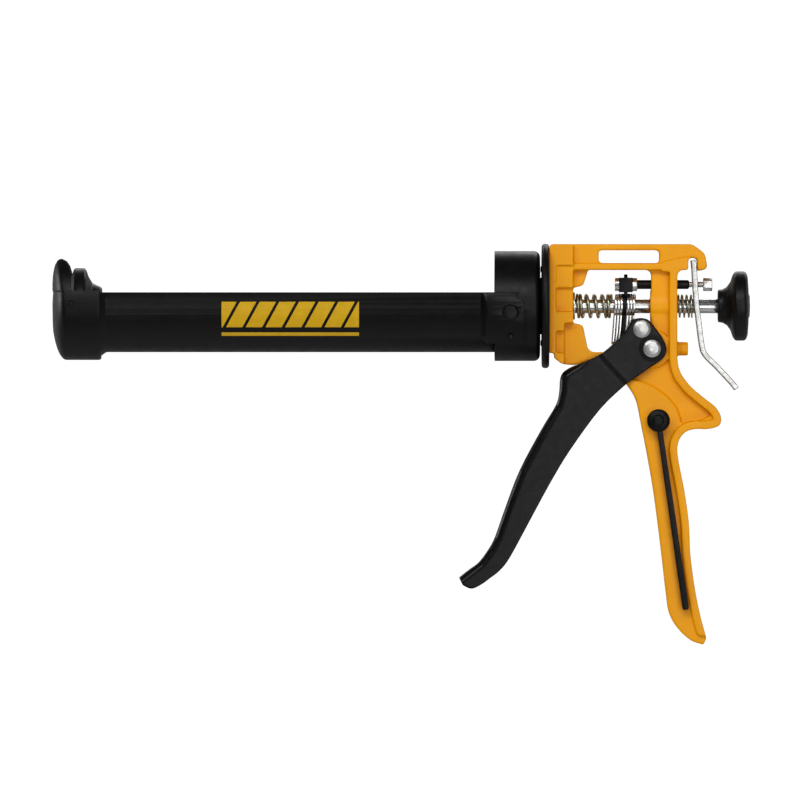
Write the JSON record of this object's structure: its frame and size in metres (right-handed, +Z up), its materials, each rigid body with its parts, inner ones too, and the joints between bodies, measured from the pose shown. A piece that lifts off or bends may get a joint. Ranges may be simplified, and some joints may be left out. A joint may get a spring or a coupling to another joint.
{
  "type": "caulking gun",
  "caption": "Hand-squeezed caulking gun with a rotating trough cradle, a friction drive on a push rod, a release lever and a fold-out seal pin.",
  "frame": {"origin": "where the push rod's axis leaves the front face of the handle frame", "axes": "+X runs back along the push rod towards the pull knob, +Z is up with the grip hanging down, +Y is the side away from the seal pin"},
  "size_m": [0.3835, 0.0684, 0.2204],
  "materials": {
    "frame_paint": "satin",
    "barrel_black": "satin",
    "disc_black": "satin",
    "zinc": "satin",
    "rod_steel": "bright",
    "plate_steel": "bright",
    "rivet_steel": "bright",
    "bush_bronze": "satin",
    "spring_steel": "satin",
    "black_oxide": "satin",
    "piston_black": "satin",
    "trigger_black": "satin",
    "knob_plastic": "satin"
  },
  "bodies": {
    "handle": {"handle_frame": "frame_paint", "swivel_disc": "disc_black", "swivel_hub": "zinc", "hub_ring": "zinc", "front_bush": "bush_bronze", "rear_bush": "bush_bronze", "spring_washer": "zinc", "drive_spring": "spring_steel", "guide_rod": "black_oxide", "adjusting_screw": "zinc", "lever_spring": "spring_steel", "trigger_pivot": "rivet_steel", "pin_rivet": "black_oxide"},
    "barrel": {"rear_cup": "barrel_black", "cradle": "barrel_black", "front_cap": "barrel_black", "rear_rivets": "barrel_black", "front_rivets": "barrel_black", "thrust_washer": "disc_black"},
    "plunger": {"push_rod": "rod_steel", "piston": "piston_black", "piston_washer": "zinc", "piston_nut": "zinc", "pull_knob": "knob_plastic", "knob_cap": "knob_plastic"},
    "trigger": {"trigger": "trigger_black", "drive_pin": "rivet_steel", "drive_roller": "rivet_steel", "pivot_rings": "black_oxide"},
    "drive": {"drive_plates_front": "plate_steel", "carrier_plate": "black_oxide", "drive_plates_rear": "plate_steel", "carrier_bush": "zinc"},
    "lever": {"release_lever": "zinc"},
    "pin": {"seal_pin": "black_oxide", "seal_pin_head": "black_oxide"}
  },
  "joints": [
    {"name": "barrel_swivel", "type": "hinge", "parent": "handle", "child": "barrel", "pos_m": [0, 0, 0], "axis": [1, 0, 0], "continuous": true},
    {"name": "plunger_slide", "type": "slide", "parent": "handle", "child": "plunger", "axis": [1, 0, 0], "range_m": [0, 0.234]},
    {"name": "trigger_squeeze", "type": "hinge", "parent": "handle", "child": "trigger", "pos_m": [0.0564, 0, -0.0234], "axis": [0, -1, 0], "range_deg": [0, 34], "stiffness_Nm_per_rad": 1, "springref_deg": -20.05},
    {"name": "drive_slide", "type": "slide", "parent": "handle", "child": "drive", "axis": [-1, 0, 0], "range_m": [0, 0.0052], "deforming": ["drive_spring"]},
    {"name": "lever_release", "type": "hinge", "parent": "handle", "child": "lever", "pos_m": [0.0796, 0, 0.024], "axis": [0, 1, 0], "range_deg": [0, 6], "stiffness_Nm_per_rad": 0.6, "springref_deg": -8.59, "deforming": ["lever_spring"]},
    {"name": "seal_pin_fold", "type": "hinge", "parent": "handle", "child": "pin", "pos_m": [0.0599, 0, -0.063], "axis": [0, -1, 0], "range_deg": [0, 100]}
  ],
  "couplings": [
    {"joint": "drive_slide", "follows": "trigger_squeeze", "m_per_rad": 0.0085}
  ]
}
